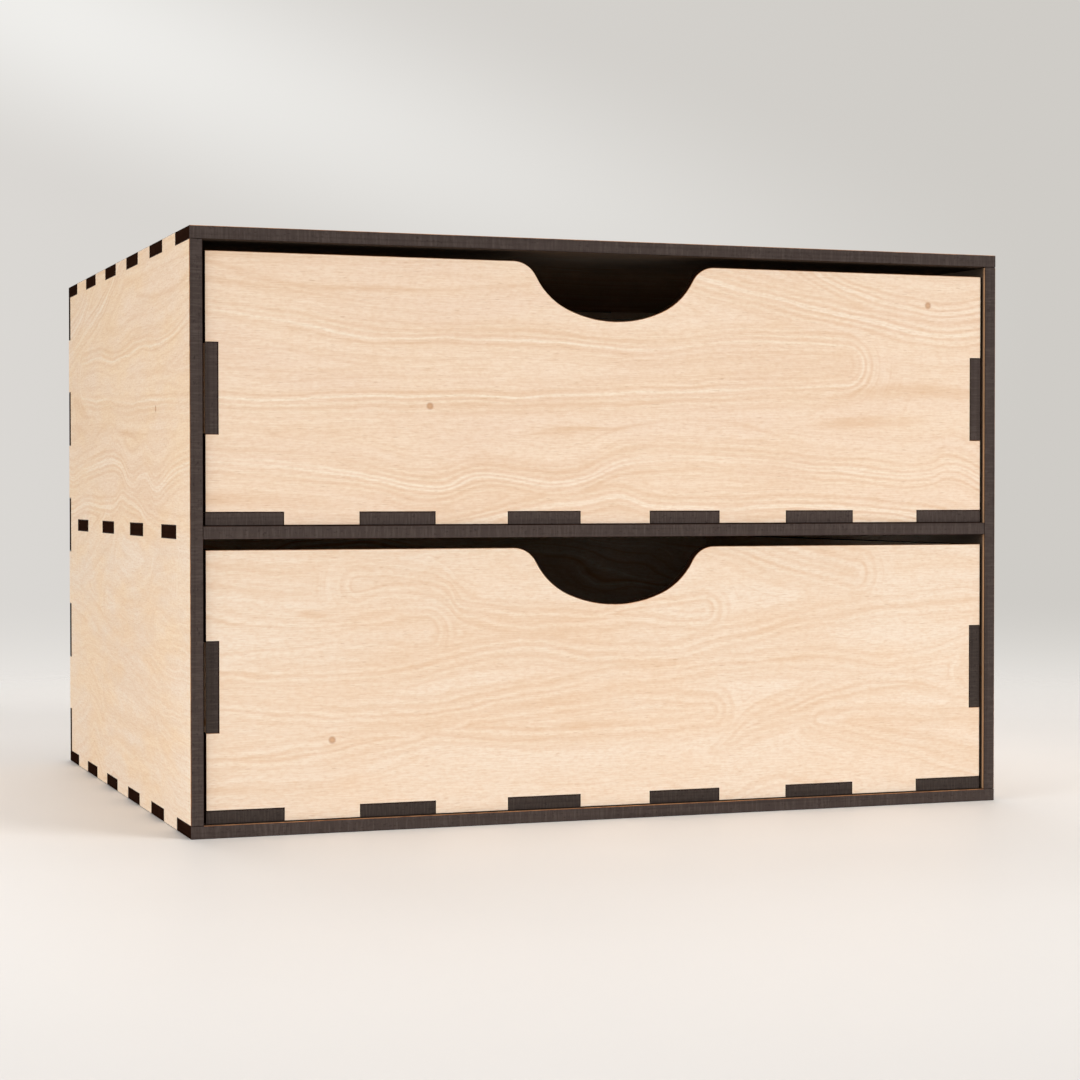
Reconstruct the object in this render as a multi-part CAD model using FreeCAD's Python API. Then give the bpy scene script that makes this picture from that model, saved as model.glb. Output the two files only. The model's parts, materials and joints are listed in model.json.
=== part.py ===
import FreeCAD, Part
import math
import os

# Router bit drawer box: a case of plywood sheets with two drawers, all finger-jointed.
# Millimetres. Origin on the underside, at the middle of the footprint.
# X runs to the right as the drawers are faced, Y to the back, Z up.

Vector = FreeCAD.Vector

# Sheet
ply_thickness = 6.0

# Case
case_width = 412.0
case_depth = 346.5
bay_height = 129.0                 # clear height of each drawer bay
case_width_finger_count = 11       # equal steps along each jointed edge, always odd
case_depth_finger_count = 11
case_height_finger_count = 9

# Shelf tabs, which pass through slots in the sides and the back
shelf_tab_count = 4
shelf_tab_length = 35.5
shelf_tab_margin = 31.5            # from the case's corner to the first slot

# Drawers
drawer_side_gap = 1.3
drawer_top_gap = 4.8
drawer_slide_gap = 0.2             # running gap under each drawer
drawer_recess = 2.0                # the fronts stand this far inside the case
drawer_rear_gap = 2.5
drawer_width_finger_count = 11
drawer_depth_finger_count = 11
drawer_height_finger_count = 3

# Finger pull, a chain of tangent arcs cut into the front's top edge
pull_bottom_radius = 59.0
pull_bottom_angle = 23.9           # degrees to each side of the middle
pull_side_radius = 33.5
pull_side_angle = 63.0             # slope where the side turns over into the lip
pull_lip_radius = 12.6

# Bit rails, which lie in notched supports on the drawer's floor
rail_width = 40.0
rail_height = 30.0                 # rail's top above the drawer's floor: the shank's depth
rail_end_gap = 0.5                 # to the drawer's side walls
rail_notch_gap = 0.2               # each side of a rail in its notch
support_wall_gap = 0.3             # supports to the drawer's walls
support_edge_margin = 20.0         # from the support's end to the first notch
rails_per_drawer = 3
holes_per_rail = 4
hole_end_margin = 48.0             # from the rail's end to its first hole
quarter_shank = 6.35
half_shank = 12.7
shank_clearance = 0.3              # on the diameter

smallest_cut = 0.001               # what is left of an edge below this is rounding

# Worked out from the values above
case_height = 3 * ply_thickness + 2 * bay_height
shelf_bottom = ply_thickness + bay_height
shelf_band = (shelf_bottom, shelf_bottom + ply_thickness)
drawer_width = case_width - 2 * ply_thickness - 2 * drawer_side_gap
drawer_depth = case_depth - ply_thickness - drawer_recess - drawer_rear_gap
drawer_height = bay_height - drawer_slide_gap - drawer_top_gap
inside_width = drawer_width - 2 * ply_thickness
inside_depth = drawer_depth - 2 * ply_thickness


# ---- laser-cut sheets, drawn flat with one corner at the origin ----

def flat_sheet(width, height):
    corners = [(0, 0), (width, 0), (width, height), (0, height), (0, 0)]
    outline = Part.makePolygon([Vector(u, v, 0) for u, v in corners])
    return Part.Face(outline).extrude(Vector(0, 0, ply_thickness))


def window(u_span, v_span):
    # A rectangular cut through the sheet
    cut = flat_sheet(u_span[1] - u_span[0], v_span[1] - v_span[0])
    cut.translate(Vector(u_span[0], v_span[0], 0))
    return cut


def finger_spans(length, count, ends):
    # Every other step of an edge: with both end steps, or with those between
    step = length / count
    first = 0 if ends else 1
    return [(i * step, (i + 1) * step) for i in range(first, count, 2)]


def evenly_placed(first, last, count):
    return [first + i * (last - first) / (count - 1) for i in range(count)]


def even_spans(length, margin, count, width):
    # Equal spans between two margins, evenly spread
    starts = evenly_placed(margin, length - margin - width, count)
    return [(start, start + width) for start in starts]


def spans_between(spans, length):
    # What the given spans leave of an edge
    ends = [0.0] + [end for span in spans for end in span] + [length]
    pairs = zip(ends[0::2], ends[1::2])
    return [(start, end) for start, end in pairs if end - start > smallest_cut]


def edge_cuts(width, height, edge, spans):
    # Notches one sheet thickness deep along one edge
    near = (0.0, ply_thickness)
    if edge == "bottom":
        return [window(span, near) for span in spans]
    if edge == "top":
        return [window(span, (height - ply_thickness, height)) for span in spans]
    if edge == "left":
        return [window(near, span) for span in spans]
    return [window((width - ply_thickness, width), span) for span in spans]


def cut_sheet(width, height, notches, holes=()):
    # notches: edge name to the spans cut out of it
    cuts = list(holes)
    for edge, spans in notches.items():
        cuts += edge_cuts(width, height, edge, spans)
    return flat_sheet(width, height).cut(cuts).removeSplitter()


# ---- placing sheets: each takes the corner nearest to left, front and bottom ----

def laid_flat(sheet, x, y, z):
    # Drawn U is X and drawn V is Y
    sheet.translate(Vector(x, y, z))
    return sheet


def stood_across(sheet, x, y, z):
    # Drawn U is X and drawn V is Z; the sheet's thickness runs back from y
    sheet.rotate(Vector(0, 0, 0), Vector(1, 0, 0), 90)
    sheet.translate(Vector(x, y + ply_thickness, z))
    return sheet


def stood_lengthwise(sheet, x, y, z):
    # Drawn U is Y and drawn V is Z; the sheet's thickness runs right from x
    sheet.rotate(Vector(0, 0, 0), Vector(1, 0, 0), 90)
    sheet.rotate(Vector(0, 0, 0), Vector(0, 0, 1), 90)
    sheet.translate(Vector(x, y, z))
    return sheet


case_left = -case_width / 2
case_front = -case_depth / 2


# ---- case ----

def shelf_side_tabs():
    return even_spans(case_depth, shelf_tab_margin, shelf_tab_count, shelf_tab_length)


def shelf_back_tabs():
    return even_spans(case_width, shelf_tab_margin, shelf_tab_count, shelf_tab_length)


def case_end_panel(z):
    # Top or bottom: it holds the corners, and takes the fingers of the sides and the back
    side_fingers = finger_spans(case_depth, case_depth_finger_count, ends=False)
    back_fingers = finger_spans(case_width, case_width_finger_count, ends=False)
    notches = {"left": side_fingers, "right": side_fingers, "top": back_fingers}
    sheet = cut_sheet(case_width, case_depth, notches)
    return laid_flat(sheet, case_left, case_front, z)


def case_side(x):
    # Its front edge runs from the bottom panel to the top panel
    end_panel_tabs = finger_spans(case_depth, case_depth_finger_count, ends=True)
    back_tabs = finger_spans(case_height, case_height_finger_count, ends=True)
    notches = {"bottom": end_panel_tabs, "top": end_panel_tabs, "right": back_tabs}
    slots = [window(span, shelf_band) for span in shelf_side_tabs()]
    sheet = cut_sheet(case_depth, case_height, notches, slots)
    return stood_lengthwise(sheet, x, case_front, 0)


def case_back():
    side_fingers = finger_spans(case_height, case_height_finger_count, ends=False)
    end_panel_tabs = finger_spans(case_width, case_width_finger_count, ends=True)
    notches = {"left": side_fingers, "right": side_fingers, "bottom": end_panel_tabs, "top": end_panel_tabs}
    slots = [window(span, shelf_band) for span in shelf_back_tabs()]
    sheet = cut_sheet(case_width, case_height, notches, slots)
    return stood_across(sheet, case_left, case_front + case_depth - ply_thickness, 0)


def case_shelf():
    side_cuts = spans_between(shelf_side_tabs(), case_depth)
    back_cuts = spans_between(shelf_back_tabs(), case_width)
    notches = {"left": side_cuts, "right": side_cuts, "top": back_cuts}
    sheet = cut_sheet(case_width, case_depth, notches)
    return laid_flat(sheet, case_left, case_front, shelf_bottom)


# ---- drawers ----

drawer_left = -drawer_width / 2
drawer_front_y = case_front + drawer_recess


def finger_pull():
    # The cut's outline about its own middle line, with v = 0 at the front's top edge.
    # Each arc starts where the last one ends, on the same tangent.
    a = math.radians(pull_bottom_angle)
    b = math.radians(pull_side_angle)
    bottom = (pull_bottom_radius * math.sin(a), pull_bottom_radius * (1 - math.cos(a)))
    side_u = bottom[0] + pull_side_radius * (math.sin(b) - math.sin(a))
    side_v = bottom[1] + pull_side_radius * (math.cos(a) - math.cos(b))
    depth = side_v + pull_lip_radius * (1 - math.cos(b))
    half_width = side_u + pull_lip_radius * math.sin(b)
    centre = (bottom[0] - pull_side_radius * math.sin(a), bottom[1] + pull_side_radius * math.cos(a))

    def point(u, v):
        return Vector(u, v - depth, 0)

    def side_arc(sign):
        middle = (a + b) / 2
        through = point(sign * (centre[0] + pull_side_radius * math.sin(middle)),
                        centre[1] - pull_side_radius * math.cos(middle))
        return Part.Arc(point(sign * bottom[0], bottom[1]), through, point(sign * side_u, side_v))

    def lip_arc(sign):
        # its centre stands one lip radius below the top edge
        through = point(sign * (half_width - pull_lip_radius * math.sin(b / 2)),
                        depth - pull_lip_radius * (1 - math.cos(b / 2)))
        return Part.Arc(point(sign * side_u, side_v), through, point(sign * half_width, depth))

    floor_arc = Part.Arc(point(-bottom[0], bottom[1]), point(0, 0), point(bottom[0], bottom[1]))
    mouth = Part.LineSegment(point(-half_width, depth), point(half_width, depth))
    curves = [floor_arc, side_arc(1), lip_arc(1), mouth, lip_arc(-1), side_arc(-1)]
    edges = [curve.toShape() for curve in curves]
    outline = Part.Wire(Part.__sortEdges__(edges))
    cut = Part.Face(outline).extrude(Vector(0, 0, ply_thickness))
    cut.translate(Vector(drawer_width / 2, drawer_height, 0))
    return cut


def drawer_end(y, z, cuts=()):
    # Front or back: over the sides' ends, but for the sides' tabs and the bottom's tabs
    side_tabs = finger_spans(drawer_height, drawer_height_finger_count, ends=False)
    bottom_tabs = finger_spans(drawer_width, drawer_width_finger_count, ends=True)
    notches = {"left": side_tabs, "right": side_tabs, "bottom": bottom_tabs}
    sheet = cut_sheet(drawer_width, drawer_height, notches, cuts)
    return stood_across(sheet, drawer_left, y, z)


def drawer_side(x, z):
    end_fingers = finger_spans(drawer_height, drawer_height_finger_count, ends=True)
    bottom_tabs = finger_spans(drawer_depth, drawer_depth_finger_count, ends=True)
    notches = {"left": end_fingers, "right": end_fingers, "bottom": bottom_tabs}
    sheet = cut_sheet(drawer_depth, drawer_height, notches)
    return stood_lengthwise(sheet, x, drawer_front_y, z)


def drawer_bottom(z):
    end_fingers = finger_spans(drawer_width, drawer_width_finger_count, ends=False)
    side_fingers = finger_spans(drawer_depth, drawer_depth_finger_count, ends=False)
    notches = {"left": side_fingers, "right": side_fingers, "bottom": end_fingers, "top": end_fingers}
    sheet = cut_sheet(drawer_width, drawer_depth, notches)
    return laid_flat(sheet, drawer_left, drawer_front_y, z)


def drawer_panels(z):
    back_y = drawer_front_y + drawer_depth - ply_thickness
    right_x = drawer_left + drawer_width - ply_thickness
    return {
        "front": drawer_end(drawer_front_y, z, [finger_pull()]),
        "back": drawer_end(back_y, z),
        "left_side": drawer_side(drawer_left, z),
        "right_side": drawer_side(right_x, z),
        "bottom": drawer_bottom(z),
    }


# ---- bit rails and their supports ----

support_length = inside_depth - 2 * support_wall_gap
support_front_y = drawer_front_y + ply_thickness + support_wall_gap
rail_length = inside_width - 2 * rail_end_gap


def rail_notches():
    # The spans of the rails' notches along a support
    width = rail_width + 2 * rail_notch_gap
    return even_spans(support_length, support_edge_margin, rails_per_drawer, width)


def rail_support(x, floor_z):
    sheet = cut_sheet(support_length, rail_height, {"top": rail_notches()})
    return stood_lengthwise(sheet, x, support_front_y, floor_z)


def bit_rail(notch, floor_z, shank):
    # One row of shank holes; the shanks stand on the drawer's floor
    centres = evenly_placed(hole_end_margin, rail_length - hole_end_margin, holes_per_rail)
    radius = (shank + shank_clearance) / 2
    holes = [Part.makeCylinder(radius, ply_thickness, Vector(u, rail_width / 2, 0)) for u in centres]
    sheet = flat_sheet(rail_length, rail_width).cut(holes)
    y = support_front_y + notch[0] + rail_notch_gap
    return laid_flat(sheet, -rail_length / 2, y, floor_z + rail_height - ply_thickness)


def bit_rack(drawer_z, shank):
    floor_z = drawer_z + ply_thickness
    support_x = {
        "left": -inside_width / 2 + support_wall_gap,
        "middle": -ply_thickness / 2,
        "right": inside_width / 2 - support_wall_gap - ply_thickness,
    }
    pieces = {"rail_support_" + side: rail_support(x, floor_z) for side, x in support_x.items()}
    for number, notch in enumerate(rail_notches(), 1):
        pieces["bit_rail_" + str(number)] = bit_rail(notch, floor_z, shank)
    return pieces


# ---- the whole box, one named piece per sheet ----

def all_pieces():
    pieces = {
        "case_bottom": case_end_panel(0),
        "case_top": case_end_panel(case_height - ply_thickness),
        "case_left_side": case_side(case_left),
        "case_right_side": case_side(case_left + case_width - ply_thickness),
        "case_back": case_back(),
        "case_shelf": case_shelf(),
    }
    lower_z = ply_thickness + drawer_slide_gap
    upper_z = shelf_bottom + ply_thickness + drawer_slide_gap
    drawers = [
        ("lower_drawer", lower_z, half_shank),
        ("upper_drawer", upper_z, quarter_shank),
    ]
    for drawer, z, shank in drawers:
        contents = {**drawer_panels(z), **bit_rack(z, shank)}
        for name, piece in contents.items():
            pieces[drawer + "_" + name] = piece
    return pieces


os.makedirs("parts", exist_ok=True)
for name, piece in all_pieces().items():
    piece.exportStep("parts/" + name + ".step")
    print(name, round(piece.Volume / 1000, 2), "cm3", len(piece.Solids), "solid", piece.isValid())
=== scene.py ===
import bpy
import bmesh
import json
import math
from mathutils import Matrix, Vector


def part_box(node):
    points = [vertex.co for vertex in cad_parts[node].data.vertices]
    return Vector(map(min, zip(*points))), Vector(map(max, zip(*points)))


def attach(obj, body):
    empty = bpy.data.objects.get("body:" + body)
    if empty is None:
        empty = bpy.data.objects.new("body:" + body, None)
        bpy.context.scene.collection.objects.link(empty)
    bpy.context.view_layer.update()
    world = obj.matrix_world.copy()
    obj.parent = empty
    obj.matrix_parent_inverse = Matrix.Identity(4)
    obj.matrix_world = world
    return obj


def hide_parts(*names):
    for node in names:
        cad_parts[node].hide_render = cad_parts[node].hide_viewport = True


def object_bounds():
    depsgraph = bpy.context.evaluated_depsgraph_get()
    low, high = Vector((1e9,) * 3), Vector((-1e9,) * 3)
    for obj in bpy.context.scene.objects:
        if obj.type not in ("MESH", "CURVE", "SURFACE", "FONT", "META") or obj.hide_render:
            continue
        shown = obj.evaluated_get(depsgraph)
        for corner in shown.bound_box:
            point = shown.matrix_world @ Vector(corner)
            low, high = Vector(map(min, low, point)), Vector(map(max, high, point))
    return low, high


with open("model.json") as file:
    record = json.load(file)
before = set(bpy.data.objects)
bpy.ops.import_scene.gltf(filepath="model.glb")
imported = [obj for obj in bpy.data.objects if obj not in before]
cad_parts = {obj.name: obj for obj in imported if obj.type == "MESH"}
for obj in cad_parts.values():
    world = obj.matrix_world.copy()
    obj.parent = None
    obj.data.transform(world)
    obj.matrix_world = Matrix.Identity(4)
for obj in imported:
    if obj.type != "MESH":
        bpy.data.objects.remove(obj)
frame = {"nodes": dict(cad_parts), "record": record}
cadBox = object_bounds()
mm = 0.001

# the camera stands a little left of the box and looks almost level
cameraValues = {
    "place": Vector((-425.1, -1241.4, 154.8)) * mm,
    "turnRight": 19.87,        # degrees from straight along +Y
    "lookDown": 1.06,
    "rollAngle": 0.02,
    "lens": 80.19,
    "sensor": 36.0,
}


def addCamera(values):
    cameraData = bpy.data.cameras.new("camera")
    cameraData.lens = values["lens"]
    cameraData.sensor_width = values["sensor"]
    camera = bpy.data.objects.new("camera", cameraData)
    camera.location = values["place"]
    camera.rotation_euler = (
        math.radians(90 - values["lookDown"]),
        math.radians(values["rollAngle"]),
        math.radians(-values["turnRight"]),
    )
    bpy.context.scene.collection.objects.link(camera)
    bpy.context.scene.camera = camera


addCamera(cameraValues)
bpy.context.scene.view_settings.view_transform = "Standard"
print("camera placed")


def linearColour(hexText):
    # sRGB hex to linear
    channels = [int(hexText[i:i + 2], 16) / 255 for i in (1, 3, 5)]
    linear = [c / 12.92 if c <= 0.04045 else ((c + 0.055) / 1.055) ** 2.4 for c in channels]
    return (*linear, 1.0)


def addNode(tree, kind, inputs=None, **settings):
    # one node; each input is a value, a socket, or a node whose first output feeds it
    node = tree.nodes.new(kind)
    for name, value in settings.items():
        setattr(node, name, value)
    for name, value in (inputs or {}).items():
        if isinstance(value, bpy.types.Node):
            value = value.outputs[0]
        if isinstance(value, bpy.types.NodeSocket):
            tree.links.new(value, node.inputs[name])
        else:
            node.inputs[name].default_value = value
    return node


def newMaterial(name):
    material = bpy.data.materials.new(name)
    material.use_nodes = True
    material.node_tree.nodes.clear()
    return material, material.node_tree


# along the grain, across it and through the sheet, for a sheet that is thin in X, Y or Z
sheetAxes = {0: "YZX", 1: "XZY", 2: "XYZ"}
axisNames = {0: "lengthwise", 1: "across", 2: "flat"}


def placeOnSheet(tree, thinAxis):
    # object coordinates in mm, turned so that X runs along the grain and Z through the sheet
    coordinates = addNode(tree, "ShaderNodeTexCoord").outputs["Object"]
    split = addNode(tree, "ShaderNodeSeparateXYZ", {0: coordinates})
    turned = addNode(tree, "ShaderNodeCombineXYZ",
                     {i: split.outputs[axis] for i, axis in enumerate(sheetAxes[thinAxis])})
    return addNode(tree, "ShaderNodeVectorMath", {0: turned, "Scale": 1 / mm}, operation="SCALE").outputs[0]


def blotches(tree, place, size, detail=2.0, shift=0.0):
    # soft blotches from 0 to 1, as long, wide and deep as size, in mm
    shrunk = addNode(tree, "ShaderNodeMapping", {"Vector": place, "Location": (shift, shift, shift),
                                                 "Scale": [1 / s for s in size]})
    noise = addNode(tree, "ShaderNodeTexNoise", {"Vector": shrunk, "Scale": 1.0, "Detail": detail})
    return noise.outputs["Fac"]


def layerTone(tree, place, layer):
    # how much of a layer shows: its blotches, coming in between two levels of their noise
    noise = blotches(tree, place, layer["size"], layer["detail"], layer["shift"])
    start, full = layer["levels"]
    return addNode(tree, "ShaderNodeMapRange", {"Value": noise, "From Min": start, "From Max": full,
                                                "To Max": layer["strength"]})


# birch face veneer, peeled from the log: growth rings show as long loops and waves, in soft tan
# bands with thin pale lines, under short fibres
veneerValues = {
    "base": "#f5dec6",
    "baseBelow": "#f3e1cd",    # the lower half of the box was cut from a slightly paler sheet
    "sheetsMeet": (128, 146),  # mm up the box, between which one sheet gives way to the other
    "patch": "#f1d8c2",
    "tan": "#dcb084",
    "cream": "#fdf0de",
    "fibreTone": "#dfbd99",
    "fleckTone": "#c99f78",
    "knot": "#bd8a62",
    "knotHeart": "#dcae84",
    "knotRim": (2.08, 1.2),    # mm from a knot's middle, between which its tone comes in
    "knotMiddle": (0.96, 0.0),
    "knotStrength": 0.7,
    "fibreSize": (9, 0.5, 3),  # real fibres are 0.03 mm wide; drawn coarser so that they show
    "fibreDetail": 4.0,
    "paleFibre": (0.46, 0.2),  # levels of the noise between which it comes in
    "tanFibre": (0.48, 0.8),
    "fibreStrength": 0.45,
    "fibreBump": 0.15,
    "fibreDepth": 0.2,         # mm
    "paintedShade": "#2f1d10",        # painted shade on the inner faces of the case, near its opening
    "paintedShadeStrength": 0.92,
    "paintedShadeReach": 120.0,       # mm
    "paintedRimShade": "#b48e6c",       # painted half-shade, in tan, on the front rim of the sides' inner faces
    "paintedRimShadeReach": 2.4,        # mm
    "roughness": (0.64, 0.78),
    "specular": 0.16,          # bare wood, so no sheen at a low angle
}

# what lies over the base: how long, wide and deep its blotches are in mm, how detailed and how
# far shifted, the levels of the noise that it comes in between, and how much it shows
veneerLayers = {
    "patches": {"size": (55, 16, 40), "detail": 3.0, "shift": 6.6, "levels": (0.4, 0.65), "strength": 0.6},
    "bands": {"size": (300, 9, 9), "detail": 3.0, "shift": 0.0, "levels": (0.46, 0.75), "strength": 0.35},
    "fineBands": {"size": (170, 3, 9), "detail": 2.0, "shift": 1.7, "levels": (0.52, 0.76), "strength": 0.32},
    "specks": {"size": (2.2, 1.1, 2), "detail": 2.0, "shift": 2.2, "levels": (0.4, 0.75), "strength": 0.28},
    "flecks": {"size": (5, 0.45, 2), "detail": 1.0, "shift": 4.4, "levels": (0.66, 0.8), "strength": 0.5},
}

# how the rings stray and fade, and where the soft bands thin out with the distance from a core
strayValues = {
    "ripple": {"size": (34, 11, 40), "detail": 1.0, "shift": 5.7},
    "rippleBelow": 7.0,        # mm that the rings stray on the lower half
    "rippleAbove": 4.0,
    "wander": {"size": (105, 42, 60), "detail": 1.0, "shift": 3.1},
    "wanderReach": 34.0,       # mm that the rings of a plain sheet stray from straight
    "fading": {"size": (85, 14, 50), "detail": 2.0, "shift": 8.3},
    "fadingLevels": (0.34, 0.6),
    "leastShown": 0.35,
    "bandsThin": (10, 24),     # mm from a core
    "bandsLeft": 0.1,
}

# plain sheets: thin lines in groups
plainRings = {
    "lines": {"size": (240, 2.4, 9), "detail": 1.0, "shift": 7.3},
    "paleLevels": (0.54, 0.7),
    "lateLevels": (0.44, 0.3),
    "groups": {"size": (260, 17, 9), "detail": 1.0, "shift": 2.9, "levels": (0.5, 0.62), "strength": 1.0},
}

# pale and tan rings outside a core: mm from it, and how strong
ringValues = {
    "paleAbove": [(0.5, 0.75), (3.4, 0.4), (6.8, 0.25), (12.5, 0.12)],
    "tanAbove": [(-1.7, 0.38), (2.0, 0.2), (5.1, 0.28), (9.6, 0.2), (16.0, 0.22), (22.0, 0.1)],
    "paleBelow": [(1.9, 0.25), (6.2, 0.1)],
    "tanBelow": [(0.0, 0.42), (4.4, 0.15), (9.2, 0.15), (16.0, 0.12)],
    "span": (-4.0, 26.0),
    "blend": 4.0,              # mm over which the rings of two cores join
    "halfWidth": {"paleAbove": 0.95, "tanAbove": 1.1, "paleBelow": 1.2, "tanBelow": 1.35},
}

# cores that the rings close round on the figured sheets: along the grain from and to, then the
# middle line and the half-width as (along, height) in mm
ringCores = {
    "longLoop": {
        "span": (-260, 122),
        "middle": [(-198, 219), (-160, 216), (-115, 214), (-46, 215), (5, 214), (71, 218), (122, 219)],
        "halfWidth": [(-198, 19), (-160, 17), (-115, 13), (-46, 13), (20, 10), (71, 11), (122, 10)],
    },
    "wavyBundle": {
        "span": (-260, 260),
        "middle": [(-198, 171), (-131, 165), (-90, 158), (-68, 164), (-24, 161), (6, 171), (40, 173),
                   (120, 168), (171, 166), (179, 169), (198, 163)],
        "halfWidth": 0.5,
    },
    "shoulderLine": {
        "span": (-260, 260),
        "middle": [(-10, 280), (25, 267), (44, 260), (60, 256), (84, 251), (133, 242), (172, 235),
                   (198, 237)],
        "halfWidth": 0.0,
    },
    "bowl": {
        "span": (-260, 260),
        "middle": [(70, 280), (100, 268), (122, 257), (158, 248), (181, 246), (198, 249)],
        "halfWidth": 0.0,
    },
    "lowArch": {
        "span": (-260, 260),
        "middle": [(-200, 138), (-75, 141), (-48, 148), (-14, 152), (3, 154), (18, 150), (44, 149),
                   (125, 149), (200, 139)],
        "halfWidth": 0.0,
    },
    "leftLoop": {
        "span": (-260, -95),
        "middle": [(-198, 90), (-150, 90), (-95, 91)],
        "halfWidth": [(-198, 9), (-150, 4), (-120, 5), (-95, 6.5)],
    },
    "wrapLine": {
        "span": (-128, 260),
        "middle": [(-128, 114), (-95, 114), (-85, 110), (-78, 102), (-66, 98), (-8, 95), (200, 95)],
        "halfWidth": [(-128, 3), (-100, 1), (-8, 0), (20, -8), (60, -30)],
    },
    "pullLoop": {
        "span": (-260, 46),
        "middle": [(-60, 97), (-20, 97), (18, 98), (46, 99)],
        "halfWidth": [(-60, -30), (-20, -6), (10, 2), (46, 5)],
    },
    "longBand": {
        "span": (-260, 260),
        "middle": [(-192, 75), (-112, 74), (-71, 82), (-44, 84), (-10, 80), (30, 80), (71, 88), (120, 97),
                   (190, 102)],
        "halfWidth": 0.5,
    },
    "cornerLoop": {"span": (40, 128), "middle": [(50, 138), (100, 123), (128, 117)], "halfWidth": 6.5},
    "edgeLoop": {"span": (196, 300), "middle": [(150, 65), (199, 65)], "halfWidth": 10.0},
    "middleBand": {
        "span": (-260, 260),
        "middle": [(-192, 57), (-150, 54), (-83, 54), (-33, 63), (18, 69), (106, 75), (152, 71), (196, 81)],
        "halfWidth": 0.0,
    },
    "risingLine": {
        "span": (-260, 260),
        "middle": [(20, 22), (58, 34), (71, 43), (98, 52), (125, 58), (153, 59), (193, 52)],
        "halfWidth": [(20, -30), (50, -8), (75, 0), (193, 0)],
    },
    "arrowLoop": {
        "span": (109, 300),
        "middle": [(109, 45), (150, 40), (198, 33)],
        "halfWidth": [(109, 3), (150, 9), (198, 14)],
    },
    "flameLoop": {
        "span": (-260, 50),
        "middle": [(-120, 44), (-88, 46), (-30, 48), (50, 51)],
        "halfWidth": [(-120, -20), (-88, -2), (-30, 4), (25, 5), (50, 3)],
    },
    "lowLine": {
        "span": (-260, 260),
        "middle": [(-197, 36), (-150, 38), (-107, 43), (-88, 46), (0, 52)],
        "halfWidth": [(-197, 0), (-110, 0), (-80, -10), (-40, -30)],
    },
}

# darker streaks of late wood: span, middle line, and how far the tone reaches
streakStrength = 0.48
tanStreaks = [
    {"span": (-210, -44), "middle": [(-198, 261), (-160, 252), (-120, 250), (-46, 254)], "halfWidth": 0.0,
     "reach": 2.2},
    {"span": (-260, 260), "middle": [(98, 196), (125, 203), (158, 207), (197, 205)],
     "halfWidth": [(90, -12), (125, 0), (198, 0)], "reach": 5.0},
    {"span": (-260, 260), "middle": [(80, 184), (122, 191), (180, 192)],
     "halfWidth": [(88, -12), (115, 0), (140, 1), (160, 0), (185, -12)], "reach": 4.0},
    {"span": (-260, 260),
     "middle": [(-61, 176), (-43, 183), (0, 187), (34, 192), (60, 191), (98, 181), (150, 180)],
     "halfWidth": [(-68, -12), (-45, -1), (30, -1), (95, -1), (150, -8)], "reach": 2.6},
    {"span": (-260, 260), "middle": [(-40, 46), (10, 45)],
     "halfWidth": [(-40, -12), (-24, -0.5), (-8, -0.5), (8, -12)], "reach": 4.0},
    {"span": (-260, 260), "middle": [(-165, 102), (-130, 101)],
     "halfWidth": [(-165, -12), (-153, 0), (-145, 0), (-133, -12)], "reach": 2.5},
]

# sheets with the closed rings: how much they show below and above the box's middle, the pin knots
# as (along, height) in mm, and the tone of the soft patches
figuredSheets = {
    "case_left_side": {"strength": (0.3, 0.75), "patch": "#f6dab6", "knots": [(-92.7, 196.4)]},
    "upper_drawer_front": {"strength": (0.88, 0.88), "patch": "#f1d8c2",
                           "knots": [(-92.7, 196.4), (168.5, 249.9)]},
    "lower_drawer_front": {"strength": (0.85, 0.85), "patch": "#f1d9c0", "knots": [(-139.9, 42.5)]},
}

# the room that the drawn lines have: along the grain to each side, the heights of the middle
# lines, and the half-widths, all in mm
drawing = {"halfSpan": 210.0, "heights": (0, 280), "halfWidths": (-30, 20)}


def lineAlong(tree, share, points, room):
    # a smooth line drawn through points over the length of a sheet, in mm
    low, high = room
    halfSpan = drawing["halfSpan"]
    line = addNode(tree, "ShaderNodeFloatCurve", {"Value": share})
    curve = line.mapping.curves[0]
    spots = [((along + halfSpan) / (2 * halfSpan), (height - low) / (high - low)) for along, height in points]
    curve.points[0].location = spots[0]
    curve.points[1].location = spots[-1]
    for spot in spots[1:-1]:
        curve.points.new(*spot)
    line.mapping.extend = "HORIZONTAL"
    line.mapping.update()
    return addNode(tree, "ShaderNodeMath", {0: line, 1: high - low, 2: low}, operation="MULTIPLY_ADD")


def outsideCore(tree, along, across, core):
    # how far a point lies outside a core, in mm; below nought inside it
    halfSpan = drawing["halfSpan"]
    share = addNode(tree, "ShaderNodeMapRange", {"Value": along, "From Min": -halfSpan, "From Max": halfSpan})
    middle = lineAlong(tree, share, core["middle"], drawing["heights"])
    aside = addNode(tree, "ShaderNodeMath", {0: across, 1: middle}, operation="SUBTRACT")
    start, stop = core["span"]
    nearest = addNode(tree, "ShaderNodeClamp", {"Value": along, "Min": start, "Max": stop})
    beyond = addNode(tree, "ShaderNodeMath", {0: along, 1: nearest}, operation="SUBTRACT")
    arm = addNode(tree, "ShaderNodeCombineXYZ", {0: beyond, 1: aside})
    distance = addNode(tree, "ShaderNodeVectorMath", {0: arm}, operation="LENGTH").outputs["Value"]
    halfWidth = core["halfWidth"]
    if isinstance(halfWidth, list):
        halfWidth = lineAlong(tree, share, halfWidth, drawing["halfWidths"])
    return addNode(tree, "ShaderNodeMath", {0: distance, 1: halfWidth}, operation="SUBTRACT")


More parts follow.
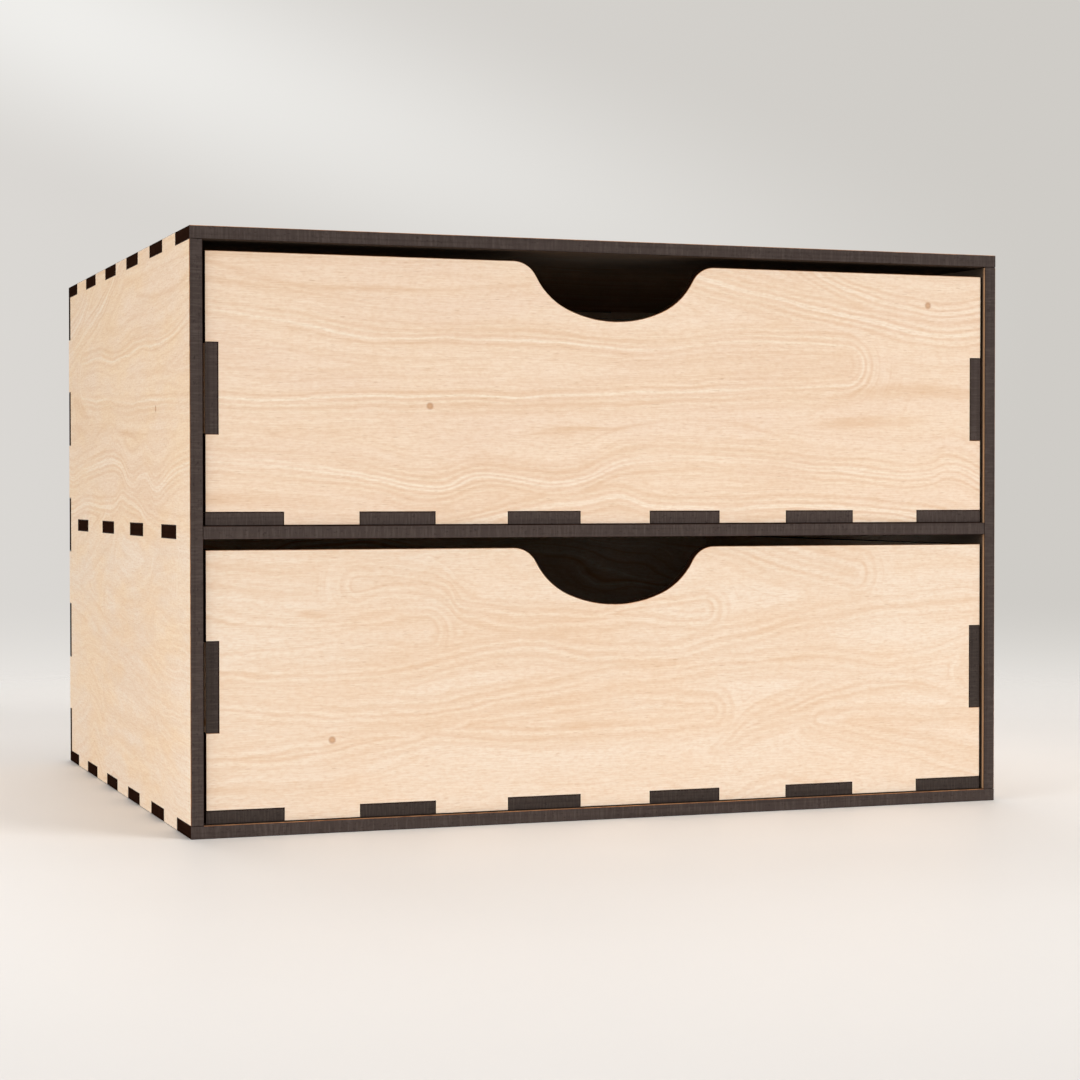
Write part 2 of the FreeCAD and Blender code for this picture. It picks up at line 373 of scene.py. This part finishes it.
def ringTone(tree, height, kind):
    # strength of one kind of ring by its distance from the core
    low, high = ringValues["span"]
    halfWidth = ringValues["halfWidth"][kind]
    share = addNode(tree, "ShaderNodeMapRange", {"Value": height, "From Min": low, "From Max": high})
    ramp = addNode(tree, "ShaderNodeValToRGB", {"Fac": share})
    stops = {0.0: 0.0, 1.0: 0.0}
    for distance, strength in ringValues[kind]:
        for side, tone in ((-1, 0.0), (0, strength), (1, 0.0)):
            stops[(distance + side * halfWidth - low) / (high - low)] = tone
    ramp.color_ramp.interpolation = "EASE"
    elements = ramp.color_ramp.elements
    elements[0].position, elements[1].position = 0.0, 1.0
    elements[0].color = elements[1].color = (0, 0, 0, 1)
    for position, tone in sorted(stops.items())[1:-1]:
        elements.new(position).color = (tone, tone, tone, 1)
    return ramp.outputs["Color"]


def veneerMaterial(name, thinAxis, figured=None, withPaintedShade=False):
    values = veneerValues
    material, tree = newMaterial(name)
    place = placeOnSheet(tree, thinAxis)
    split = addNode(tree, "ShaderNodeSeparateXYZ", {0: place})
    along, across = split.outputs[0], split.outputs[1]
    low, high = values["sheetsMeet"]
    upper = addNode(tree, "ShaderNodeMapRange", {"Value": across, "From Min": low, "From Max": high})

    # the rings stray a little, so everything that follows them is read at a shifted place
    ripple = blotches(tree, place, **strayValues["ripple"])
    rippleSize = addNode(tree, "ShaderNodeMapRange", {"Value": upper, "To Min": strayValues["rippleBelow"],
                                                      "To Max": strayValues["rippleAbove"]})
    off = addNode(tree, "ShaderNodeMath", {0: ripple, 1: 0.5}, operation="SUBTRACT")
    rippled = addNode(tree, "ShaderNodeMath", {0: off, 1: rippleSize, 2: across}, operation="MULTIPLY_ADD")
    if figured:
        height = None
        for core in ringCores.values():
            distance = outsideCore(tree, along, rippled, core)
            if height is not None:
                distance = addNode(tree, "ShaderNodeMath", {0: height, 1: distance, 2: ringValues["blend"]},
                                   operation="SMOOTH_MIN")
            height = distance
    else:
        wander = blotches(tree, place, **strayValues["wander"])
        reach = strayValues["wanderReach"]
        stray = addNode(tree, "ShaderNodeMapRange", {"Value": wander, "To Min": -reach, "To Max": reach})
        height = addNode(tree, "ShaderNodeMath", {0: rippled, 1: stray}, operation="ADD")
    ringPlace = addNode(tree, "ShaderNodeCombineXYZ", {0: along, 1: height, 2: split.outputs[2]}).outputs[0]

    # each layer is how much of it shows, and its tone
    low, high = strayValues["bandsThin"]
    bandStrength = veneerLayers["bands"]["strength"]
    bandStrength = addNode(tree, "ShaderNodeMapRange", {
        "Value": height, "From Min": low, "From Max": high, "To Min": bandStrength,
        "To Max": strayValues["bandsLeft"] if figured else bandStrength})
    layers = [
        (layerTone(tree, place, veneerLayers["patches"]), (figured or values)["patch"]),
        (layerTone(tree, ringPlace, {**veneerLayers["bands"], "strength": bandStrength}), values["tan"]),
        (layerTone(tree, ringPlace, veneerLayers["fineBands"]), values["tan"]),
    ]

    # growth rings, which fade here and there
    if figured:
        tones = {kind: ringTone(tree, height, kind) for kind in ringValues["halfWidth"]}
        pale = addNode(tree, "ShaderNodeMix", {0: upper, 2: tones["paleBelow"], 3: tones["paleAbove"]})
        late = addNode(tree, "ShaderNodeMix", {0: upper, 2: tones["tanBelow"], 3: tones["tanAbove"]})
    else:
        lines = blotches(tree, ringPlace, **plainRings["lines"])
        grouped = layerTone(tree, ringPlace, plainRings["groups"])
        pale, late = [
            addNode(tree, "ShaderNodeMapRange", {"Value": lines, "From Min": start, "From Max": full,
                                                 "To Max": grouped})
            for start, full in (plainRings["paleLevels"], plainRings["lateLevels"])]
    fading = blotches(tree, place, **strayValues["fading"])
    below, above = figured["strength"] if figured else (1.0, 1.0)
    strength = addNode(tree, "ShaderNodeMapRange", {"Value": upper, "To Min": below, "To Max": above})
    start, full = strayValues["fadingLevels"]
    fade = addNode(tree, "ShaderNodeMapRange", {"Value": fading, "From Min": start, "From Max": full,
                                                "To Min": strayValues["leastShown"]})
    fade = addNode(tree, "ShaderNodeMath", {0: fade, 1: strength}, operation="MULTIPLY")
    rings = [(late, values["tan"]), (pale, values["cream"])]
    if figured:
        for streak in tanStreaks:
            distance = outsideCore(tree, along, rippled, streak)
            tone = addNode(tree, "ShaderNodeMapRange", {"Value": distance, "From Max": streak["reach"],
                                                        "To Min": streakStrength, "To Max": 0.0},
                           interpolation_type="SMOOTHSTEP")
            rings.append((tone, values["tan"]))
    layers += [(addNode(tree, "ShaderNodeMath", {0: tone, 1: fade}, operation="MULTIPLY"), hexText)
               for tone, hexText in rings]

    fibres = blotches(tree, place, values["fibreSize"], values["fibreDetail"])
    for (start, full), hexText in (
            (values["paleFibre"], values["cream"]),
            (values["tanFibre"], values["fibreTone"])):
        tone = addNode(tree, "ShaderNodeMapRange", {"Value": fibres, "From Min": start, "From Max": full,
                                                    "To Max": values["fibreStrength"]})
        layers.append((tone, hexText))
    layers.append((layerTone(tree, place, veneerLayers["specks"]), values["tan"]))
    layers.append((layerTone(tree, place, veneerLayers["flecks"]), values["fleckTone"]))

    # a pin knot has a dark rim and a paler heart
    if figured:
        onFace = addNode(tree, "ShaderNodeCombineXYZ", {0: along, 1: across})
        for knot in figured["knots"]:
            away = addNode(tree, "ShaderNodeVectorMath", {0: onFace, 1: (*knot, 0)}, operation="DISTANCE")
            for (start, full), hexText in (
                    (values["knotRim"], values["knot"]),
                    (values["knotMiddle"], values["knotHeart"])):
                tone = addNode(tree, "ShaderNodeMapRange", {
                    "Value": away.outputs["Value"], "From Min": start, "From Max": full,
                    "To Max": values["knotStrength"]})
                layers.append((tone, hexText))

    # inside the case, painted shade thins out with the depth, and a tan painted half-shade lies on the front
    # rim of the sides
    if withPaintedShade:
        coordinates = addNode(tree, "ShaderNodeTexCoord").outputs["Object"]
        depth = addNode(tree, "ShaderNodeSeparateXYZ", {0: coordinates}).outputs[1]
        front = cadBox[0][1]
        shadeTone = addNode(tree, "ShaderNodeMapRange", {"Value": depth, "From Min": front,
                                                    "From Max": front + values["paintedShadeReach"] * mm,
                                                    "To Min": values["paintedShadeStrength"], "To Max": 0.0},
                       interpolation_type="SMOOTHSTEP")
        layers.append((shadeTone, values["paintedShade"]))
        # on the sides, a tan painted half-shade lies over the front rim of their inner faces
        if thinAxis == 0:
            reach = values["paintedRimShadeReach"] * mm
            rim = addNode(tree, "ShaderNodeMapRange", {
                "Value": depth, "From Min": front + reach / 2, "From Max": front + reach,
                "To Min": 1.0, "To Max": 0.0})
            layers.append((rim, values["paintedRimShade"]))

    colour = addNode(tree, "ShaderNodeMix", {0: upper, 6: linearColour(values["baseBelow"]),
                                             7: linearColour(values["base"])}, data_type="RGBA").outputs[2]
    for tone, hexText in layers:
        colour = addNode(tree, "ShaderNodeMix", {0: tone, 6: colour, 7: linearColour(hexText)},
                         data_type="RGBA").outputs[2]
    bump = addNode(tree, "ShaderNodeBump", {"Height": fibres, "Strength": values["fibreBump"],
                                            "Distance": values["fibreDepth"] * mm})
    low, high = values["roughness"]
    rough = addNode(tree, "ShaderNodeMapRange", {"Value": fibres, "To Min": low, "To Max": high})
    shader = addNode(tree, "ShaderNodeBsdfPrincipled", {
        "Base Color": colour, "Roughness": rough, "Normal": bump,
        "Specular IOR Level": 0.0 if withPaintedShade else values["specular"]})
    addNode(tree, "ShaderNodeOutputMaterial", {"Surface": shader})
    return material


# laser-cut edges: charred through the plies, matt, with fine streaks where the beam passed
charValues = {
    # base, pale streak and dark fleck, on cuts that face forward or back: greyer than the char's own brown, a
    # painted sheen of the light from in front
    "charWithPaintedSheen": ("#473d39", "#5e534e", "#2e2623"),
    "ashBelow": ("#3d3531", "#524843", "#27201e"),    # the same painted sheen, darker, on the lower drawer
    "tar": ("#24140d", "#38241a", "#130a06"),         # browner and dead matt, on all other cuts
    "specular": {"charWithPaintedSheen": 0.05, "ashBelow": 0.05, "tar": 0.0},
    "roughness": 0.85,
    "streakBump": 0.3,
    "streakDepth": 0.1,        # mm
}

# real streaks are 0.1 mm wide, drawn coarser so that they show; the plies are 1.2 mm thick
charLayers = {
    "streaks": {"size": (0.8, 0.8, 9), "detail": 3.0, "shift": 0.0, "levels": (0.45, 0.75), "strength": 0.6},
    "plies": {"size": (120, 120, 1.2), "detail": 1.0, "shift": 4.0, "levels": (0.5, 0.8), "strength": 0.4},
    "flecks": {"size": (2, 2, 1), "detail": 3.0, "shift": 9.0, "levels": (0.58, 0.75), "strength": 0.6},
}


def charredMaterial(name, thinAxis, kind):
    base, pale, dark = [linearColour(tone) for tone in charValues[kind]]
    material, tree = newMaterial(name)
    place = placeOnSheet(tree, thinAxis)
    colour = base
    for layer, over in (("streaks", pale), ("plies", dark), ("flecks", dark)):
        tone = layerTone(tree, place, charLayers[layer])
        colour = addNode(tree, "ShaderNodeMix", {0: tone, 6: colour, 7: over}, data_type="RGBA").outputs[2]
    streaks = charLayers["streaks"]
    bump = addNode(tree, "ShaderNodeBump", {
        "Height": blotches(tree, place, streaks["size"], streaks["detail"]),
        "Strength": charValues["streakBump"], "Distance": charValues["streakDepth"] * mm})
    shader = addNode(tree, "ShaderNodeBsdfPrincipled", {
        "Base Color": colour, "Normal": bump, "Roughness": charValues["roughness"],
        "Specular IOR Level": charValues["specular"][kind]})
    addNode(tree, "ShaderNodeOutputMaterial", {"Surface": shader})
    return material


# the outer ply is only browned by the beam, which leaves a hair-thin warm line round every cut
arrisValues = {
    "warm": ("#b88053", "#7c4a2b"),    # on the front of the case and the top of each drawer front
    "dark": ("#35211a", "#1b100b"),    # on all other arrises: darker browning in the joints, where the beam turned and lingered, and painted shade in the gaps and along the foot of the case, where it stands in for the contact shadow
    "roughness": 0.8,
    "specular": 0.1,
    "patches": {"size": (5, 5, 5), "detail": 3.0, "shift": 0.0, "levels": (0.35, 0.7), "strength": 1.0},
}


def brownedArrisMaterial(name, tones):
    brown, dark = [linearColour(tone) for tone in tones]
    material, tree = newMaterial(name)
    tone = layerTone(tree, placeOnSheet(tree, 2), arrisValues["patches"])
    colour = addNode(tree, "ShaderNodeMix", {0: tone, 6: brown, 7: dark}, data_type="RGBA").outputs[2]
    shader = addNode(tree, "ShaderNodeBsdfPrincipled", {
        "Base Color": colour, "Roughness": arrisValues["roughness"],
        "Specular IOR Level": arrisValues["specular"]})
    addNode(tree, "ShaderNodeOutputMaterial", {"Surface": shader})
    return material


veneers = {}
charred = {}
for thinAxis, axisName in axisNames.items():
    veneers[thinAxis, "plain"] = veneerMaterial("rotaryCutBirch_" + axisName, thinAxis)
    # the same veneer with painted shade, for the faces that look into the case
    veneers[thinAxis, "withPaintedShade"] = veneerMaterial("rotaryCutBirch_smoked_" + axisName, thinAxis, withPaintedShade=True)
    for kind in ("charWithPaintedSheen", "ashBelow", "tar"):
        charred[thinAxis, kind] = charredMaterial(f"laserCharredPlywood_{kind}_{axisName}", thinAxis, kind)
for name, figure in figuredSheets.items():
    thinAxis = 0 if name.startswith("case") else 1
    veneers[name] = veneerMaterial("rotaryCutBirch_figured_" + name, thinAxis, figure)
arrises = {tone: brownedArrisMaterial("brownedPlywoodArris_" + tone, arrisValues[tone])
           for tone in ("warm", "dark")}
print("materials made")

# each sheet is the CAD shape with the beam's width taken off and its arrises eased
sheetValues = {
    "thickness": 6.0,          # mm
    "beamWidth": 0.16,         # mm, half of it lost on each side of a cut
    "arris": 0.22,             # mm, width of the browned line
    "smoothAngle": 25,         # degrees, so that the finger pull's facets shade as one curve
    "mergeWithin": 0.001,      # mm
    "flatWithin": 0.5,         # degrees, under which two faces are one
    "rim": 0.5,                # mm from the case's front or side, where its outer arrises lie
}


def isCut(face, thinAxis):
    return abs(face.normal[thinAxis]) < 0.5


def atFront(face):
    return abs(face.calc_center_median().y - cadBox[0][1]) < sheetValues["rim"] * mm


def isWarmArris(name, face):
    # on the case's front, its outer sides and what looks up between them; on a drawer's front, its top
    looksUp = face.normal.z > 0.1
    if not name.startswith("case"):
        return looksUp and name.endswith("front")
    if name == "case_shelf" or not atFront(face):
        return False
    aside = cadBox[1][0] - abs(face.calc_center_median().x)
    betweenSides = name == "case_top" or aside > sheetValues["thickness"] * mm
    return aside < sheetValues["rim"] * mm or looksUp and betweenSides


def facesInside(name, face):
    # a face of the case that looks into it
    ahead = face.calc_center_median() + face.normal * 20 * mm
    return name.startswith("case") and all(cadBox[0][i] < ahead[i] < cadBox[1][i] for i in range(3))


def surfaceOf(name, face, thinAxis, easedFaces):
    if face in easedFaces:
        # an arris that isn't warm gets the dark tone, which is painted shade in the gaps and along the foot
        # of the case
        return "warmArris" if isWarmArris(name, face) else "jointArrisAndPaintedShade"
    if isCut(face, thinAxis):
        # cuts that face forward or back get the char with painted sheen; all others get the plain brown char
        return "charWithPaintedSheen" if abs(face.normal.y) > 0.7 else "tar"
    # faces that look into the case get the veneer with painted shade
    return "withPaintedShade" if facesInside(name, face) else "veneer"


def takeOffBeam(bm, thinAxis, depth):
    # every cut face moves in by the same depth, so a corner moves along its bisector
    moves = {}
    for vert in bm.verts:
        normals = []
        for face in vert.link_faces:
            if isCut(face, thinAxis) and all(face.normal.dot(n) < 0.999 for n in normals):
                normals.append(face.normal.copy())
        if len(normals) == 1:
            moves[vert] = -normals[0] * depth
        elif len(normals) == 2:
            first, second = normals
            moves[vert] = -(first + second) * depth / (1 + first.dot(second))
    for vert, move in moves.items():
        vert.co += move


def splitArris(bm, easedFaces):
    # the bottom's front arris is split where the sides stand on it
    for side in (-1, 1):
        inner = side * (cadBox[1][0] - sheetValues["thickness"] * mm)
        front = [face for face in bm.faces if face in easedFaces and atFront(face)]
        around = list(dict.fromkeys(edge for face in front for edge in face.edges))
        split = bmesh.ops.bisect_plane(bm, geom=front + around, plane_co=(inner, 0, 0),
                                       plane_no=(1, 0, 0))
        easedFaces.update(item for item in split["geom"] if isinstance(item, bmesh.types.BMFace))


def dressSheet(name):
    low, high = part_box(name)
    size = high - low
    thinAxis = min(range(3), key=lambda i: size[i])
    materials = {
        "veneer": veneers.get(name, veneers[thinAxis, "plain"]),
        "charWithPaintedSheen": charred[thinAxis, "ashBelow" if name.startswith("lower_drawer") else "charWithPaintedSheen"],
        "tar": charred[thinAxis, "tar"],
        "jointArrisAndPaintedShade": arrises["dark"],
        "warmArris": arrises["warm"],
        "withPaintedShade": veneers[thinAxis, "withPaintedShade"],
    }
    surfaces = list(materials)

    # the CAD mesh is loose triangles, so they are merged into whole faces first
    bm = bmesh.new()
    bm.from_mesh(frame["nodes"][name].data)
    bmesh.ops.remove_doubles(bm, verts=bm.verts, dist=sheetValues["mergeWithin"] * mm)
    bmesh.ops.dissolve_limit(bm, angle_limit=math.radians(sheetValues["flatWithin"]), verts=bm.verts,
                             edges=bm.edges)
    bm.normal_update()
    takeOffBeam(bm, thinAxis, sheetValues["beamWidth"] / 2 * mm)
    edges = [edge for edge in bm.edges if len({isCut(face, thinAxis) for face in edge.link_faces}) == 2]
    eased = bmesh.ops.bevel(bm, geom=edges, offset=sheetValues["arris"] * mm, offset_type="OFFSET",
                            affect="EDGES", segments=1, profile=0.5, material=-1)
    easedFaces = set(eased["faces"])
    if name == "case_bottom":
        splitArris(bm, easedFaces)
    bm.normal_update()
    for face in bm.faces:
        face.smooth = True
        face.material_index = surfaces.index(surfaceOf(name, face, thinAxis, easedFaces))
    mesh = bpy.data.meshes.new(name + "_sheet")
    bm.to_mesh(mesh)
    bm.free()

    # cuts shade as smooth curves, and the flat veneer stays flat
    mesh.set_sharp_from_angle(angle=math.radians(sheetValues["smoothAngle"]))
    for polygon in mesh.polygons:
        polygon.use_smooth = surfaces[polygon.material_index] not in ("veneer", "withPaintedShade")
    for material in materials.values():
        mesh.materials.append(material)
    sheet = bpy.data.objects.new(name + "_sheet", mesh)
    bpy.context.scene.collection.objects.link(sheet)
    return sheet


bodyOf = {node: body for body, nodes in frame["record"]["behaviour"]["bodies"].items() for node in nodes}
for name in sorted(frame["nodes"]):
    sheet = dressSheet(name)
    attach(sheet, bodyOf[name])
    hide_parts(name)
print("sheets dressed:", len(frame["nodes"]))

# a matt painted floor, so that the box has a soft shadow and no mirror image
floorValues = {
    "radius": 2.4,             # metres, as are the next two
    "fadeFrom": 0.45,          # from the box, where the floor starts to melt into the background
    "fadeTo": 1.0,
    "sides": 96,
    "colour": "#eeeae6",
    "mottleColour": "#e7e2dd",
    "mottleScale": 3.0,
    "mottleDetail": 3.0,
    "roughness": 0.5,
    "specular": 0.3,
}


def addFloor(values):
    bm = bmesh.new()
    bmesh.ops.create_circle(bm, cap_ends=True, segments=values["sides"], radius=values["radius"])
    mesh = bpy.data.meshes.new("floor")
    bm.to_mesh(mesh)
    bm.free()
    material, tree = newMaterial("paleStudioFloor")
    place = addNode(tree, "ShaderNodeTexCoord").outputs["Object"]
    mottle = addNode(tree, "ShaderNodeTexNoise", {"Vector": place, "Scale": values["mottleScale"],
                                                  "Detail": values["mottleDetail"]})
    tone = addNode(tree, "ShaderNodeMix", {0: mottle, 6: linearColour(values["colour"]),
                                           7: linearColour(values["mottleColour"])},
                   data_type="RGBA").outputs[2]
    matt = addNode(tree, "ShaderNodeBsdfPrincipled", {
        "Base Color": tone, "Roughness": values["roughness"], "Specular IOR Level": values["specular"]})
    clear = addNode(tree, "ShaderNodeBsdfTransparent")
    away = addNode(tree, "ShaderNodeVectorMath", {0: place}, operation="LENGTH").outputs["Value"]
    fade = addNode(tree, "ShaderNodeMapRange", {"Value": away, "From Min": values["fadeFrom"],
                                                "From Max": values["fadeTo"]},
                   interpolation_type="SMOOTHSTEP")
    both = addNode(tree, "ShaderNodeMixShader", {0: fade, 1: matt, 2: clear})
    addNode(tree, "ShaderNodeOutputMaterial", {"Surface": both})
    mesh.materials.append(material)
    floor = bpy.data.objects.new("floor", mesh)
    bpy.context.scene.collection.objects.link(floor)


# the background by direction: X to the right and Z up, each as a part of a length of 1
backgroundValues = {
    "left": "#dbd8d4",
    "right": "#cfccc7",
    "turns": (0.1, 0.5),       # X between which the wall goes from left to right
    "streak": "#f4f3f0",       # soft light that falls across the wall from high on the left
    "streakSlope": 0.35,
    "streakHeight": 0.244,     # Z where it would meet the middle
    "streakHalfWidth": 0.07,
    "streakStrength": 0.8,
    "streakFades": (0.52, 0.15),
    "glow": "#f4f0eb",         # the pale band where wall and floor meet
    "glowHeights": (-0.04, -0.105),
    "below": "#e3dfdb",
    "belowHeights": (-0.12, -0.22),
    "ambient": "#f4f1ee",
    "ambientStrength": 0.3,
}


def addBackground(values):
    world = bpy.data.worlds.new("studio")
    bpy.context.scene.world = world
    world.use_nodes = True
    tree = world.node_tree
    tree.nodes.clear()
    direction = addNode(tree, "ShaderNodeTexCoord").outputs["Generated"]
    split = addNode(tree, "ShaderNodeSeparateXYZ", {0: direction})
    toRight, up = split.outputs[0], split.outputs[2]

    start, full = values["turns"]
    turned = addNode(tree, "ShaderNodeMapRange", {"Value": toRight, "From Min": start, "From Max": full})
    slope = addNode(tree, "ShaderNodeVectorMath", {0: direction, 1: (values["streakSlope"], 0.0, 1.0)},
                    operation="DOT_PRODUCT").outputs["Value"]
    offStreak = addNode(tree, "ShaderNodeMath", {0: slope, 1: values["streakHeight"]}, operation="SUBTRACT")
    beside = addNode(tree, "ShaderNodeMath", {0: offStreak}, operation="ABSOLUTE")
    streak = addNode(tree, "ShaderNodeMapRange", {
        "Value": beside, "From Min": values["streakHalfWidth"], "From Max": 0.0,
        "To Max": values["streakStrength"]}, interpolation_type="SMOOTHSTEP")
    start, full = values["streakFades"]
    fading = addNode(tree, "ShaderNodeMapRange", {"Value": toRight, "From Min": start, "From Max": full})
    streakTone = addNode(tree, "ShaderNodeMath", {0: streak, 1: fading}, operation="MULTIPLY")
    start, full = values["glowHeights"]
    glowTone = addNode(tree, "ShaderNodeMapRange", {"Value": up, "From Min": start, "From Max": full},
                       interpolation_type="SMOOTHSTEP")
    start, full = values["belowHeights"]
    belowTone = addNode(tree, "ShaderNodeMapRange", {"Value": up, "From Min": start, "From Max": full})

    seen = linearColour(values["left"])
    for tone, over in ((turned, "right"), (streakTone, "streak"), (glowTone, "glow"), (belowTone, "below")):
        seen = addNode(tree, "ShaderNodeMix", {0: tone, 6: seen, 7: linearColour(values[over])},
                       data_type="RGBA").outputs[2]

    # the camera, gloss and glass see the background; the object is lit by a plain ambient light
    rays = addNode(tree, "ShaderNodeLightPath").outputs
    direct = addNode(tree, "ShaderNodeMath", {0: rays["Is Camera Ray"], 1: rays["Is Transmission Ray"]},
                     operation="MAXIMUM")
    direct = addNode(tree, "ShaderNodeMath", {0: direct, 1: rays["Is Glossy Ray"]}, operation="MAXIMUM")
    lit = addNode(tree, "ShaderNodeBackground", {"Color": linearColour(values["ambient"]),
                                                 "Strength": values["ambientStrength"]})
    shown = addNode(tree, "ShaderNodeBackground", {"Color": seen, "Strength": 1.0})
    both = addNode(tree, "ShaderNodeMixShader", {0: direct, 1: lit, 2: shown})
    addNode(tree, "ShaderNodeOutputWorld", {"Surface": both})


# soft lamps, each with its place and size in metres, and watts; all aim at the middle of the box
lampAim = Vector((0, 0, 0.12))
lamps = {
    "rightFront": {"place": (1.6, -1.8, 1.2), "size": 1.3, "watts": 38.0},
    "leftLow": {"place": (-2.2, -0.9, 0.7), "size": 1.4, "watts": 30.0},
    "overhead": {"place": (0.35, -0.1, 2.3), "size": 1.6, "watts": 16.4},
    "behind": {"place": (0.05, 1.6, 2.0), "size": 1.6, "watts": 18.5},
    # faint, so that the finger pulls aren't black holes
    "intoPulls": {"place": (-0.85, -2.3, 0.1), "size": 0.5, "watts": 1.5},
}


def addLamp(name, values):
    lampData = bpy.data.lights.new(name, "AREA")
    lampData.size = values["size"]
    lampData.energy = values["watts"]
    lamp = bpy.data.objects.new(name, lampData)
    lamp.location = values["place"]
    lamp.rotation_euler = (lampAim - Vector(values["place"])).to_track_quat("-Z", "Y").to_euler()
    bpy.context.scene.collection.objects.link(lamp)


addFloor(floorValues)
addBackground(backgroundValues)
for name, values in lamps.items():
    addLamp(name, values)
print("stage and lamps placed")
